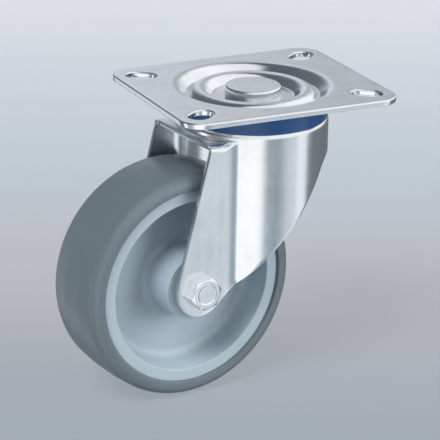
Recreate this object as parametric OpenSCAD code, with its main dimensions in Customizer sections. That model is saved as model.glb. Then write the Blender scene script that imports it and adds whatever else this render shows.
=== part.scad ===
// Swivel castor with a rectangular top plate, a pressed fork on two ball races and a soft-tyred wheel.
// Millimetres. The origin is the centre of the plate's mounting face, on the swivel axis, with +Z up.
// +X runs along the plate's long side. With swivel_angle at 0 the wheel trails towards -X.

/* [Top plate] */
// Length of the plate
plate_l = 100; // [96:1:140]
// Width of the plate
plate_w = 85; // [82:1:120]
// Sheet thickness of the plate
plate_t = 2.5; // [2:0.1:3]
// Radius of the plate's corners
plate_corner_r = 10; // [4:0.5:12]
// Distance between slot centres along the plate
slot_spacing_l = 77.5; // [74:0.5:80]
// Distance between slot centres across the plate
slot_spacing_w = 60; // [58:0.5:63]
// Width of a slot
slot_w = 9; // [6.5:0.1:9.5]
// End-to-end length of a slot
slot_l = 13.5; // [10:0.5:14]
// Radius of the pressed ridge, which is also the upper ball circle
ridge_r = 23; // [22:0.5:25]
// Distance from the ridge out to the pressed groove
groove_w = 4.8; // [4.5:0.1:5.5]
// Distance from the groove out to the edge of the pressing
press_w = 5.6; // [5:0.1:7]
// Slope of the ridge's flanks
flank_angle = 50; // [46:1:54]
// Depth of the ridge's corner below the mounting face
ridge_drop = 0.45; // [0.3:0.05:0.8]
// Depth of the pressed floor round the rivet head
floor_drop = 4.8; // [4:0.1:5.5]

/* [Kingpin] */
// Diameter of the kingpin's head
pin_head_d = 24; // [20:0.5:25]
// Depth of the head's top below the mounting face
pin_head_sink = 0.2; // [0.1:0.1:1]
// Diameter of the kingpin's shank
pin_d = 14; // [12:0.5:15]
// Diameter of the formed lower head
pin_foot_d = 20; // [18:0.5:24]
// Height of the formed lower head
pin_foot_h = 4.4; // [3:0.1:5]

/* [Ball races] */
// Diameter of the upper balls
upper_ball_d = 7; // [6.8:0.1:7.2]
// Diameter of the lower balls
lower_ball_d = 6; // [5.8:0.1:6.2]
// Radius of the lower ball circle
lower_ball_r = 16.5; // [16.3:0.1:16.7]
// Clearance round every ball
ball_play = 0.12; // [0.08:0.01:0.15]
// Gap between neighbouring balls
ball_gap = 0.9; // [0.4:0.1:1.5]
// Sheet thickness of the lower race
race_t = 2; // [1.6:0.1:2.4]

/* [Fork] */
// Angle to which the fork is swivelled at rest
swivel_angle = 7; // [-180:1:180]
// Sheet thickness of the fork
fork_t = 2; // [1.8:0.1:2.2]
// Distance from the upper ball circle out to the head's outer face
head_rim = 9.6; // [9.4:0.1:11]
// Outer radius of the shoulder between the head's top and its wall
shoulder_r = 4; // [3:0.1:4.2]
// Depth of the fork's web below the head's shoulder
web_drop = 1.2; // [0.8:0.1:2.5]
// Length of the web behind the head
web_reach = 2.2; // [1.8:0.1:6]
// Outer bend radius between web and legs
bend_r = 3; // [2.5:0.1:4]
// Radius of the concave bend where a leg runs into the front wall
neck_r = 5; // [3:0.5:7]
// Clearance between the wheel's hub and each leg
hub_gap = 2.15; // [1:0.05:3]
// Radius of the round end of each leg
boss_r = 11.4; // [10:0.1:14]
// Depth of the front wall below the shoulder
front_skirt = 13.2; // [8:0.1:16]
// Distance from the swivel axis to where the swept edge meets the front wall's lower edge
lip_x = 20; // [14:0.5:24]
// Radius of the swept lower edge
sweep_r = 320; // [250:10:600]
// Radius between the swept edge and the front wall's lower edge
lip_r = 12; // [6:1:16]

/* [Dust ring] */
// Distance of the dust ring's wall inside the fork's round wall
ring_inset = 0.6; // [0.4:0.1:1]
// Wall thickness of the dust ring
ring_t = 1.5; // [1.2:0.1:1.8]
// Gap between the ring's top and the plate
ring_gap = 0.4; // [0.3:0.1:1]
// Height of the ring's foot above the fork's head
ring_foot_h = 1.2; // [0.8:0.1:1.6]
// Width of the ring's foot
ring_foot_w = 4.5; // [3.5:0.1:4.8]

/* [Wheel] */
// Diameter over the tyre
wheel_d = 100; // [90:1:125]
// Overall width of the tyre
tyre_w = 35; // [34:0.5:37]
// Fall of the tread between its middle and its shoulders
crown = 0.8; // [0.3:0.1:1.5]
// Radius of the tyre's shoulders
tyre_shoulder_r = 5; // [3:0.5:7]
// Thickness of the tyre at the rim's edge
tyre_t = 7.2; // [6.5:0.1:9]
// Width of the rim over its two rings
rim_w = 32.6; // [31.6:0.1:33]
// Width of the flat ring on each side of the rim
ring_face = 5; // [4:0.1:6]
// Thickness of the rim's web
web_t = 6; // [4:0.5:8]
// Radius of the fillets between web, rim and hub
dish_r = 4; // [2:0.5:5]
// Length of the hub
hub_l = 37.2; // [34:0.2:40]
// Diameter of the hub's end faces
hub_d = 28.4; // [24:0.2:32]
// Distance from the swivel axis back to the wheel's axle
trail = 39.5; // [36:0.5:44]
// Gap between the tyre and the fork's web
wheel_gap = 11; // [8:0.5:16]

/* [Axle] */
// Diameter of the axle bolt
bolt_d = 8; // [6:0.5:10]
// Width across flats of the bolt head and the nut
hex_af = 13; // [12:0.5:17]
// Height of the bolt head
bolt_head_h = 5.3; // [4:0.1:6.5]
// Height of the lock nut
nut_h = 8; // [6:0.5:9]
// Length of thread beyond the nut
thread_end = 2; // [0.5:0.5:4]
// Outer diameter of the axle tube
tube_d = 12; // [11:0.5:16]
// Radial clearance between the axle tube and the hub
tube_play = 0.06; // [0.03:0.01:0.1]
// Radial clearance of the bolt in the fork and the tube
bolt_play = 0.1; // [0.05:0.05:0.3]

/* [Hidden] */
$fn = 96;
ARC_STEPS = 6;
BIG = 200;
// Small forms: edge rounding, the draft of the wheel's dish, and the ledge that keys the tyre to the rim
EDGE = 0.4;
DRAFT = 1.2;
KEY = 3;
KEY_DEPTH = 1.6;
// Hexagon heads: width of the flat top as a share of the width across flats, and slope of the chamfer
HEX_TOP = 0.94;
HEX_SLOPE = 30;
// Bend radii of the plate's pressing, along the middle of the sheet
FLOOR_BEND = 2.5;
RIDGE_BEND = 3.4;
GROOVE_BEND = 2.3;
PRESS_BEND = 3.5;

// Plate
floor_top = -floor_drop;
floor_under = floor_top - plate_t;
groove_r = ridge_r + groove_w;
groove_z = -ridge_drop - groove_w * tan(flank_angle);
press_r = groove_r + press_w;
press_slope = atan2(-plate_t / 2 - groove_z, press_w);

// Upper ball circle: a ball rests between the two flanks under the ridge
upper_ball_z = -ridge_drop - (plate_t / 2 + upper_ball_d / 2 + ball_play) / cos(flank_angle);
upper_track = upper_ball_z - upper_ball_d / 2 - ball_play;
upper_balls = floor(360 / (2 * asin((upper_ball_d + ball_gap) / 2 / ridge_r)));

// Fork head: the upper track is pressed into it, and its inner crest covers the lower balls
track_depth = 0.75;
track_slope = 21;
race_bend = 2.2;
crest_rise = 1.4;
lip_slope = 43;
lip_flank = 2.3;
head_r = ridge_r + head_rim;
head_top = upper_track + track_depth;
shoulder_z = head_top - shoulder_r;
web_top = shoulder_z - web_drop;
web_under = web_top - fork_t;
web_back = head_r + web_reach;
ring_r = head_r - ring_inset;

// Lower ball circle: a ball rests under the crest of the head's inner lip
lower_ball_z = head_top + crest_rise - fork_t - ball_play - lower_ball_d / 2;
lower_track = lower_ball_z - lower_ball_d / 2 - ball_play;
lower_balls = floor(360 / (2 * asin((lower_ball_d + ball_gap) / 2 / lower_ball_r)));
race_under = lower_track - race_t;

// Lower race: distance in to its floor, the rise of that floor, and the slope and length of its rim
race_step = 2.8;
race_rise = 0.7;
race_slope = 34;
race_flank = 4.6;

// Wheel and fork legs
wheel_r = wheel_d / 2;
leg_in = hub_l / 2 + hub_gap;
leg_out = leg_in + fork_t;
axle_z = web_under - wheel_gap - wheel_r;
rim_r = wheel_r - tyre_t;
front_z = shoulder_z - front_skirt;
bore_r = bolt_d / 2 + bolt_play;
leg_foot = axle_z - boss_r - 1;

UPPER_BALLS = [for (i = [1:upper_balls]) str("upper_ball_", i < 10 ? "0" : "", i)];
LOWER_BALLS = [for (i = [1:lower_balls]) str("lower_ball_", i < 10 ? "0" : "", i)];

// Unit vector from a to b
function unit(a, b) = (b - a) / norm(b - a);
// Left-hand normal of a direction
function left(d) = [-d[1], d[0]];
// The first two numbers of a path point, which are its place
function place(p) = [p[0], p[1]];

// Path points are [x, y, bend radius]. This moves a path sideways by d and adjusts its bend radii.
function beside(path, d) = [
    for (i = [0:len(path) - 1])
        let (here = place(path[i]),
             before = i > 0 ? unit(place(path[i - 1]), here) : unit(here, place(path[1])),
             after = i < len(path) - 1 ? unit(here, place(path[i + 1])) : before,
             n1 = left(before), n2 = left(after),
             turn = cross(before, after),
             corner = here + d * (n1 + n2) / (1 + n1 * n2),
             r = turn > 0 ? path[i][2] - d : path[i][2] + d)
        [corner[0], corner[1], i == 0 || i == len(path) - 1 ? 0 : max(r, 0)]
];

// Points of a path whose corners are rounded to their bend radii
function rounded(path) = [
    for (i = [0:len(path) - 1])
        let (here = place(path[i]), r = path[i][2])
        if (i == 0 || i == len(path) - 1 || r < 0.01) here
        else
            let (before = unit(place(path[i - 1]), here), after = unit(here, place(path[i + 1])),
                 turn = acos(min(1, before * after)), side = cross(before, after) > 0 ? 1 : -1,
                 start = here - before * r * tan(turn / 2), centre = start + left(before) * side * r,
                 arm = start - centre)
            each [for (k = [0:ARC_STEPS])
                let (a = side * turn * k / ARC_STEPS)
                centre + [arm[0] * cos(a) - arm[1] * sin(a), arm[0] * sin(a) + arm[1] * cos(a)]]
];

// Points of an arc between two angles, without its first point
function arc(centre, r, from, to, steps) = [
    for (k = [1:steps]) let (a = from + (to - from) * k / steps) centre + r * [cos(a), sin(a)]];

function reversed(list) = [for (i = [len(list) - 1:-1:0]) list[i]];

// Distance from a ball's centre to the middle of the sheet that it runs on
function seat(ball_d, t) = ball_d / 2 + ball_play + t / 2;

// Half the flat under a ball, beyond which a flank of this slope clears it
function flat_half(seat, slope) = seat * tan(slope / 2);

// Height of the plate's underside at a radius on the outer flank of the pressing or beyond it
function press_under(r) =
    min(-plate_t, -plate_t / 2 - (press_r - r) * tan(press_slope) - plate_t / 2 / cos(press_slope));

// Section of a bent sheet of thickness t whose middle follows the path
module sheet_section(path, t) {
    polygon(concat(rounded(beside(path, t / 2)), reversed(rounded(beside(path, -t / 2)))));
}

// What turns with the fork at its rest angle
module on_fork() {
    rotate([0, 0, swivel_angle]) children();
}

// What lies on the wheel's axle, with the axle along Z and the near side of the fork at +Z
module on_axle() {
    on_fork() translate([-trail, 0, axle_z]) rotate([90, 0, 0]) children();
}

// Top plate
module slot(direction) {
    half = (slot_l - slot_w) / 2;
    rotate(direction) {
        for (side = [-1, 1]) translate([side * half, 0]) circle(d = slot_w);
        square([2 * half, slot_w], center = true);
    }
}

module plate_outline() {
    x = plate_l / 2 - plate_corner_r;
    y = plate_w / 2 - plate_corner_r;
    square([plate_l, 2 * y], center = true);
    square([2 * x, plate_w], center = true);
    for (sx = [-1, 1], sy = [-1, 1]) translate([sx * x, sy * y]) circle(plate_corner_r);
}

module top_plate() {
    middle = -plate_t / 2;
    floor_z = floor_top + middle;
    floor_r = ridge_r - (-ridge_drop - floor_z) / tan(flank_angle);
    reach = norm([plate_l, plate_w]);
    slot_x = slot_spacing_l / 2;
    slot_y = slot_spacing_w / 2;
    slot_turn = atan2(slot_y, slot_x);
    color([0.78, 0.8, 0.82]) intersection() {
        linear_extrude(BIG, center = true) difference() {
            plate_outline();
            for (sx = [-1, 1], sy = [-1, 1])
                translate([sx * slot_x, sy * slot_y]) slot(sx * sy * slot_turn);
        }
        rotate_extrude() sheet_section([[pin_d / 2, floor_z, 0], [floor_r, floor_z, FLOOR_BEND],
            [ridge_r, -ridge_drop, RIDGE_BEND], [groove_r, groove_z, GROOVE_BEND],
            [press_r, middle, PRESS_BEND], [reach, middle, 0]], plate_t);
    }
}

// Kingpin, riveted over the lower race
module kingpin() {
    head = [pin_head_d / 2, -pin_head_sink];
    foot = [pin_foot_d / 2, race_under - pin_foot_h];
    dome = 0.8;
    color([0.8, 0.8, 0.82]) rotate_extrude() polygon(rounded([
        [0, foot[1], 0], [foot[0] * dome, foot[1], pin_foot_h / 3],
        [foot[0], race_under - pin_foot_h / 2, pin_foot_h / 3], [foot[0], race_under, 0],
        [pin_d / 2, race_under, 0], [pin_d / 2, floor_top, 0], [head[0], floor_top, 0],
        [head[0], head[1], 2 * EDGE], [0, head[1], 0]]));
}

// Lower race: a pressed dish whose neck stands against the underside of the plate
module lower_race() {
    neck = pin_d / 2 + race_t / 2;
    track = lower_track - race_t / 2;
    dish = track + race_rise;
    half = flat_half(seat(lower_ball_d, race_t), race_slope);
    outer = [lower_ball_r + half, track];
    rim = outer + race_flank * [cos(race_slope), sin(race_slope)];
    color([0.6, 0.61, 0.63]) rotate_extrude() sheet_section([[neck, floor_under, 0],
        [neck, dish, race_t], [lower_ball_r - race_step, dish, race_bend / 2],
        [lower_ball_r - half, track, race_bend], [outer[0], outer[1], race_bend], [rim[0], rim[1], 0]],
        race_t);
}

// Fork
// The concave bend where a leg's outer face runs into the round front wall, in plan
module neck_fill() {
    x = -sqrt(pow(head_r + neck_r, 2) - pow(leg_out + neck_r, 2));
    centre = [x, leg_out + neck_r];
    turn = 90 - atan2(centre[1], -centre[0]);
    bend = arc(centre, neck_r, -90, turn - 90, ARC_STEPS);
    tip = bend[ARC_STEPS - 1];
    polygon(concat([[x, leg_out - fork_t / 2], [x, leg_out]], bend, [tip + unit(tip, [0, 0]) * fork_t / 2]));
}

// Side view of the fork's walls, drawn in X and Z: the rear edge, the round end, the swept edge and the lip
module fork_side() {
    axle = [-trail, axle_z];
    corner = [-web_back, web_top];
    lip = [lip_x, front_z];
    // rear edge: the tangent from the web's rear corner to the round end of the leg
    reach = norm(axle - corner);
    slope = atan2(axle[1] - corner[1], axle[0] - corner[0]) - asin(boss_r / reach);
    rear = corner + sqrt(reach * reach - boss_r * boss_r) * [cos(slope), sin(slope)];
    // swept edge: an arc through the lip that touches the round end of the leg from outside
    span = norm(lip - axle);
    along = (pow(sweep_r - boss_r, 2) - pow(sweep_r, 2) + span * span) / (2 * span);
    aside = sqrt(pow(sweep_r - boss_r, 2) - along * along);
    centre = axle + along * unit(axle, lip) + aside * left(unit(axle, lip));
    fillet_z = front_z - lip_r;
    fillet = [centre[0] + sqrt(pow(sweep_r + lip_r, 2) - pow(fillet_z - centre[1], 2)), fillet_z];
    boss_start = atan2(rear[1] - axle[1], rear[0] - axle[0]);
    boss_end = atan2(axle[1] - centre[1], axle[0] - centre[0]);
    sweep_end = atan2(fillet[1] - centre[1], fillet[0] - centre[0]);
    front = head_r + 5;
    top = 10;
    polygon(concat([[corner[0], top], corner, rear],
        arc(axle, boss_r, boss_start, 360 + boss_end, 4 * ARC_STEPS),
        arc(centre, sweep_r, boss_end, sweep_end, 3 * ARC_STEPS),
        arc(fillet, lip_r, 180 + sweep_end, 90, 2 * ARC_STEPS), [[front, front_z], [front, top]]));
}

// Channel of web and legs, bent from one sheet and open to the front where the round wall follows
module fork_channel() {
    mid_y = leg_out - fork_t / 2;
    mid_z = web_top - fork_t / 2;
    bend = bend_r - fork_t / 2;
    difference() {
        rotate([90, 0, -90]) linear_extrude(BIG)
            sheet_section([[-mid_y, leg_foot, 0], [-mid_y, mid_z, bend], [mid_y, mid_z, bend],
                           [mid_y, leg_foot, 0]], fork_t);
        translate([0, 0, leg_foot - 1]) cylinder(h = web_top - leg_foot + 2, r = head_r - fork_t);
    }
}

// Bends between the legs' outer faces and the round wall
module fork_necks() {
    top = web_top - bend_r / 2;
    for (side = [0, 1]) mirror([0, side]) translate([0, 0, leg_foot])
        linear_extrude(top - leg_foot) neck_fill();
}

module trimmed_to_side() {
    intersection() {
        children();
        rotate([90, 0, 0]) linear_extrude(4 * head_r, center = true) fork_side();
    }
}

// Round head and front wall in one revolved form. The upper track is on top and the lower one under the
// inner lip, and the sheet between them follows the common tangent of the two ball circles. Behind the legs
// the wall ends at the web.
module fork_cup() {
    middle = fork_t / 2;
    wall = head_r - middle;
    flat = head_top - middle;
    track = upper_track - middle;
    crest = flat + crest_rise;
    upper_seat = seat(upper_ball_d, fork_t);
    lower_seat = seat(lower_ball_d, fork_t);
    span = [ridge_r - lower_ball_r, upper_ball_z - lower_ball_z];
    tangent = asin(min(1, (upper_seat + lower_seat) / norm(span))) - atan2(span[1], span[0]);
    lip = [lower_ball_r - flat_half(lower_seat, lip_slope), crest];
    edge = lip - lip_flank * [cos(lip_slope), sin(lip_slope)];
    track_end = ridge_r + flat_half(upper_seat, track_slope);
    turn = 180 - asin((leg_out - middle) / wall);
    difference() {
        trimmed_to_side() rotate_extrude() sheet_section([[edge[0], edge[1], 0],
            [lip[0], lip[1], race_bend],
            [lower_ball_r + flat_half(lower_seat, tangent), crest, race_bend],
            [ridge_r - flat_half(upper_seat, tangent), track, race_bend], [track_end, track, race_bend],
            [track_end + track_depth / tan(track_slope), flat, race_bend],
            [wall, flat, shoulder_r - middle], [wall, leg_foot, 0]], fork_t);
        translate([0, 0, leg_foot - 1]) linear_extrude(web_under - leg_foot + 1)
            polygon([[0, 0], BIG * [cos(turn), sin(turn)], [-BIG, 0], BIG * [cos(turn), -sin(turn)]]);
    }
}

module fork() {
    color([0.8, 0.82, 0.84]) on_fork() difference() {
        union() {
            fork_cup();
            trimmed_to_side() fork_channel();
            trimmed_to_side() fork_necks();
        }
        translate([-trail, 0, axle_z]) rotate([90, 0, 0])
            cylinder(h = 4 * leg_out, r = bore_r, center = true);
    }
}

// Plastic dust ring, seated on the fork's shoulder. Its top slopes with the pressing above it.
function ring_top(r) = press_under(r) - ring_gap / cos(press_slope);

module dust_ring() {
    wall_in = ring_r - ring_t;
    foot_in = ring_r - ring_foot_w;
    color([0.13, 0.28, 0.52]) on_fork() rotate_extrude() difference() {
        union() {
            polygon([[wall_in, shoulder_z], [ring_r, shoulder_z], [ring_r, ring_top(ring_r)],
                     [wall_in, ring_top(wall_in)]]);
            translate([foot_in, shoulder_z]) square([ring_foot_w, head_top + ring_foot_h - shoulder_z]);
        }
        translate([head_r - shoulder_r, shoulder_z]) circle(shoulder_r + 0.02);
        translate([foot_in - 1, shoulder_z - 1])
            square([head_r - shoulder_r - foot_in + 1, head_top - shoulder_z + 1.02]);
    }
}

// Axle
module hexagon(h) {
    corner = hex_af / sqrt(3);
    flat = hex_af / 2 * HEX_TOP;
    intersection() {
        cylinder(h = h, r = corner, $fn = 6);
        rotate_extrude() polygon([[0, 0], [corner, 0], [corner, h - tan(HEX_SLOPE) * (corner - flat)],
                                  [flat, h], [0, h]]);
    }
}

module axle_bolt() {
    hex_turn = 15;
    shank = 2 * leg_out + nut_h + thread_end;
    color([0.82, 0.83, 0.85]) on_axle() {
        translate([0, 0, leg_out]) rotate(hex_turn) hexagon(bolt_head_h);
        translate([0, 0, leg_out - shank]) cylinder(h = shank, d = bolt_d);
    }
}

// Lock nut, whose round collar holds the thread
module axle_nut() {
    collar_h = nut_h * 0.3;
    color([0.78, 0.79, 0.81]) on_axle() translate([0, 0, -leg_out]) rotate([180, 0, 0]) difference() {
        union() {
            hexagon(nut_h - collar_h);
            cylinder(h = nut_h, d = hex_af * HEX_TOP - 2 * EDGE);
        }
        translate([0, 0, -1]) cylinder(h = nut_h + 2, d = bolt_d);
    }
}

module axle_tube() {
    color([0.65, 0.66, 0.68]) on_axle() difference() {
        cylinder(h = 2 * leg_in, d = tube_d, center = true);
        cylinder(h = 2 * leg_in + 2, r = bore_r, center = true);
    }
}

// Wheel, drawn as one half of a section in radius and width, whose other half mirrors it
module both_halves(half) {
    polygon(concat(half, [for (p = reversed(half)) if (p[1] > 0) [p[0], -p[1]]]));
}

module rim() {
    half = rim_w / 2;
    web = web_t / 2;
    dish = rim_r - ring_face;
    bore = tube_d / 2 + tube_play;
    color([0.62, 0.7, 0.75]) on_axle() rotate_extrude() both_halves(rounded([
        [bore, hub_l / 2, 0], [hub_d / 2, hub_l / 2, EDGE], [hub_d / 2 + DRAFT, web, dish_r],
        [dish - DRAFT, web, dish_r], [dish, half, EDGE], [rim_r, half, EDGE],
        [rim_r, half - KEY, 0], [rim_r + KEY_DEPTH, half - KEY - KEY_DEPTH, 0]]));
}

module tyre() {
    half = tyre_w / 2;
    side = rim_w / 2;
    foot = 0.6;
    flat = 0.3;
    tread_bend = 20;
    shoulder = min(tyre_shoulder_r, (tyre_t - crown - foot) * 0.9);
    color([0.4, 0.44, 0.46]) on_axle() rotate_extrude() both_halves(rounded([
        [rim_r + KEY_DEPTH, side - KEY - KEY_DEPTH, 0], [rim_r, side - KEY, 0], [rim_r, side, 0],
        [rim_r + foot, half, EDGE], [wheel_r - crown, half, shoulder], [wheel_r, half * flat, tread_bend],
        [wheel_r, 0, 0]]));
}

// Balls
module ball(d, r, z, turn) {
    color([0.7, 0.7, 0.72]) rotate([0, 0, turn]) translate([r, 0, z]) sphere(d = d, $fn = 48);
}

top_plate();
kingpin();
lower_race();
fork();
dust_ring();
axle_bolt();
axle_nut();
axle_tube();
rim();
tyre();
for (i = [0:upper_balls - 1])
    ball(upper_ball_d, ridge_r, upper_ball_z, i * 360 / upper_balls);
for (i = [0:lower_balls - 1])
    ball(lower_ball_d, lower_ball_r, lower_ball_z, i * 360 / lower_balls);
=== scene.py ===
"""Swivel castor: plate, kingpin, ball races, pressed fork, dust ring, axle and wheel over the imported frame.

Lengths inside the functions are millimetres, in the castor's own frame: the origin is the centre of the
plate's mounting face, +Z up. The fork's own frame is turned SWIVEL about Z, and its wheel trails to -X.
"""

import math

import bmesh
import bpy
import numpy as np
from mathutils import Matrix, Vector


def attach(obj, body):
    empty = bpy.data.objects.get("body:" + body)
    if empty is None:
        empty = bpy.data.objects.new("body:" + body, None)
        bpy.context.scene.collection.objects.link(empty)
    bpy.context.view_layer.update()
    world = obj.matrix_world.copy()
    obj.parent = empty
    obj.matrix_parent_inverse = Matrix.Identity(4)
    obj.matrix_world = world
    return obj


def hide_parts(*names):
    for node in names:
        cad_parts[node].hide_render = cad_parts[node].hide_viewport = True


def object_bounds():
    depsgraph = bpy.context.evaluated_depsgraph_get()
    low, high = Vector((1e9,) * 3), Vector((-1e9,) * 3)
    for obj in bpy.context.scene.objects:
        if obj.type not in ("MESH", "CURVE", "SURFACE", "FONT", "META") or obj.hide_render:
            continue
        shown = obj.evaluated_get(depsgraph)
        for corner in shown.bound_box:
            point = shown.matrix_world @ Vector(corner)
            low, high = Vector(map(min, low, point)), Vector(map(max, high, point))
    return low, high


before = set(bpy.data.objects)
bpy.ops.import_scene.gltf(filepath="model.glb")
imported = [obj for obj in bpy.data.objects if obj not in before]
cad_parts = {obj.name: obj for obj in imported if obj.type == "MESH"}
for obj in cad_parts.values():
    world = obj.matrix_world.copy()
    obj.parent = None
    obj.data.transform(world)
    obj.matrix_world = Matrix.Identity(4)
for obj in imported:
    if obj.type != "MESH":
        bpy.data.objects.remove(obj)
CAD_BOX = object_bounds()

bl_info = {
    "name": "Swivel castor",
    "version": (1, 0, 0),
    "blender": (4, 5, 0),
    "location": "View3D > Sidebar > Castor",
    "description": "Builds a plate castor with a pressed fork and a soft-tyred wheel",
    "category": "Add Mesh",
}

MM = 0.001
SWIVEL = math.radians(7)

# Plate: its sheet, and the pressing's ridge, groove, outer edge and floor
FLANK = math.radians(50)
PLATE_T = 2.5
RIDGE_R = 23.0
RIDGE_DROP = 0.45
GROOVE_WIDTH = 4.8
GROOVE_R = RIDGE_R + GROOVE_WIDTH
GROOVE_Z = -RIDGE_DROP - GROOVE_WIDTH * math.tan(FLANK)
PRESS_R = GROOVE_R + 5.6
FLOOR_TOP = -4.8
FLOOR_UNDER = FLOOR_TOP - PLATE_T
PIN_R = 7.0

# Balls: play, diameters, circles, and seats, which are radii of the middle of the sheet round a ball
BALL_PLAY = 0.12
UPPER_BALL = 7.0
LOWER_BALL = 6.0
LOWER_R = 16.5
FORK_T = 2.0
UPPER_Z = -RIDGE_DROP - (PLATE_T / 2 + UPPER_BALL / 2 + BALL_PLAY) / math.cos(FLANK)
UPPER_SEAT = UPPER_BALL / 2 + BALL_PLAY + FORK_T / 2
LOWER_SEAT = LOWER_BALL / 2 + BALL_PLAY + FORK_T / 2
UPPER_TRACK = UPPER_Z - UPPER_BALL / 2 - BALL_PLAY

# Fork: ball tracks, neck, round head, shoulder, web, legs, round leg ends and front wall
TRACK_DEPTH = 0.75
NECK_R = 5.6
CREST = 1.4
HEAD_TOP = UPPER_TRACK + TRACK_DEPTH
HEAD_R = RIDGE_R + 9.6
SHOULDER_R = 4.0
SHOULDER_Z = HEAD_TOP - SHOULDER_R
WEB_DROP = 1.2
WEB_TOP = SHOULDER_Z - WEB_DROP
WEB_BACK = HEAD_R + 2.2
LOWER_Z = HEAD_TOP + CREST - FORK_T - BALL_PLAY - LOWER_BALL / 2
LOWER_TRACK = LOWER_Z - LOWER_BALL / 2 - BALL_PLAY
RACE_T = 2.0
RACE_UNDER = LOWER_TRACK - RACE_T
HUB_HALF = 37.2 / 2
LEG_IN = HUB_HALF + 2.15
LEG_OUT = LEG_IN + FORK_T
BOSS_R = 11.4
FRONT_Z = SHOULDER_Z - 13.2
RING_R = HEAD_R - 0.6

# Wheel and axle: place and size, hole, bolt, share of a hexagon's width that stays flat on top, and where rim
# and tyre meet, as (radius, half width)
TRAIL = 39.5
WHEEL_R = 50.0
AXLE_Z = WEB_TOP - FORK_T - 11.0 - WHEEL_R
HOLE_R = 4.1
BOLT_R = 4.0
CHAMFER = 0.94
SEAT_EDGE = (42.8, 16.3)
SEAT_STEP = (42.8, 13.3)
SEAT_BED = (44.4, 11.7)

# Camera, fitted to the photo: azimuth, elevation and roll in degrees, place along its own right, up and back
CAMERA_TURN = (-26.25, 20.31, 1.07)
CAMERA_PLACE = (-14.12, -57.97, 1034.53)
CAMERA_LENS = 198.7

# Lights: name, strength setting and share of it, width in degrees, and the direction they come from
SUNS = [("Key", "key", 1.0, 26.0, (-0.52, -0.32, 0.78)),
        ("Left", "side", 1.6, 60.0, (-1.0, -0.2, -0.1)),
        ("Right", "side", 2.6, 40.0, (0.7, -0.65, 0.3))]

# Colours of floor, room and reflected studio. Floor places are metres away from the camera, room places go
# from 0, straight down, to 1, straight up, and studio places are degrees round Z. The studio shows in glossy
# rays only. Its ceiling is dark on the side that FLAG_WAY points to.
FLOOR_GLOW = 0.78
FLOOR_BOUNCE = (0.48, 0.5, 0.52)
# painted shade: the floor's colours run from darker near the camera to paler far away
FLOOR_SHADED_COLOURS = [(-0.07, (0.37, 0.41, 0.45)), (0.11, (0.49, 0.5, 0.53)), (0.25, (0.52, 0.58, 0.63)),
                 (0.6, (0.71, 0.73, 0.78))]
BACKDROP = (0.72, 0.74, 0.78)
ROOM = [(0.0, (0.5, 0.52, 0.56)), (0.4, (0.8, 0.83, 0.88)), (0.55, (1.0, 1.0, 1.0)),
        (0.75, (0.9, 0.92, 0.95)), (1.0, (0.8, 0.82, 0.85))]
STUDIO_BELOW = [
    (-180, (0.3, 0.32, 0.34)), (-158, (0.36, 0.39, 0.42)), (-145, (1.2, 1.2, 1.2)),
    (-102, (1.2, 1.2, 1.2)), (-92, (0.34, 0.4, 0.44)), (-74, (0.34, 0.4, 0.44)), (-62, (0.62, 0.66, 0.7)),
    (-48, (0.68, 0.72, 0.76)), (-42, (0.95, 0.97, 1.0)), (-28, (1.0, 1.02, 1.05)),
    (-21, (0.19, 0.21, 0.22)), (57, (0.16, 0.18, 0.2)), (75, (0.26, 0.29, 0.31)),
    (103, (0.22, 0.25, 0.27)), (109, (0.76, 0.79, 0.82)), (122, (0.76, 0.79, 0.82)),
    (127, (0.13, 0.17, 0.19)), (158, (0.13, 0.17, 0.19)), (163, (1.6, 1.6, 1.6)), (171, (1.6, 1.6, 1.6)),
    (176, (0.28, 0.3, 0.32)), (180, (0.3, 0.32, 0.34))
]
STUDIO_ABOVE = [
    (-180, (0.12, 0.13, 0.14)), (-152, (0.25, 0.26, 0.28)), (-132, (0.95, 0.96, 0.98)),
    (-60, (1.1, 1.1, 1.1)), (30, (1.1, 1.1, 1.1)), (46, (0.56, 0.58, 0.59)), (58, (0.44, 0.48, 0.49)),
    (68, (0.72, 0.74, 0.78)), (76, (0.68, 0.7, 0.73)), (85, (0.38, 0.4, 0.43)), (98, (0.15, 0.16, 0.18)),
    (180, (0.12, 0.13, 0.14))
]
STUDIO_TOP = (1.0, 1.0, 1.0)
STUDIO_FLAG = (0.12, 0.13, 0.15)
FLAG_WAY = (-0.45, 0.9, 0.0)


# Curves and surfaces

def angle_of(v):
    """Angle of the plane vector v from the first axis."""
    return math.atan2(v[1], v[0])


def unit(v):
    """A vector of length 1 along v."""
    return v / np.linalg.norm(v)


def left(v):
    """The plane vector v turned 90 degrees anticlockwise."""
    return np.array([-v[1], v[0]])


def ways(angle):
    """Directions (cos t, sin t) at angles t."""
    return np.stack([np.cos(angle), np.sin(angle)], -1)


def root(v):
    """Square root, and 0 for negative values."""
    return np.sqrt(np.maximum(v, 0))


def beside(path, d):
    """Moves a path of (a, b, bend radius) sideways by d. Each corner goes out by d (n1 + n2) / (1 + n1.n2),
    where n1 and n2 are the normals before and after it."""
    path = np.array(path, float)
    steps = np.diff(path[:, :2], axis=0)
    steps /= np.linalg.norm(steps, axis=1)[:, None]
    before = np.vstack([steps[:1], steps])
    after = np.vstack([steps, steps[-1:]])
    n1, n2 = left(before.T).T, left(after.T).T
    corners = path[:, :2] + d * (n1 + n2) / (1 + (n1 * n2).sum(1))[:, None]
    radii = path[:, 2] - np.sign((n1 * after).sum(1)) * d
    return np.column_stack([corners, np.where(path[:, 2] > 0, np.maximum(radii, 0), 0)])


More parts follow.
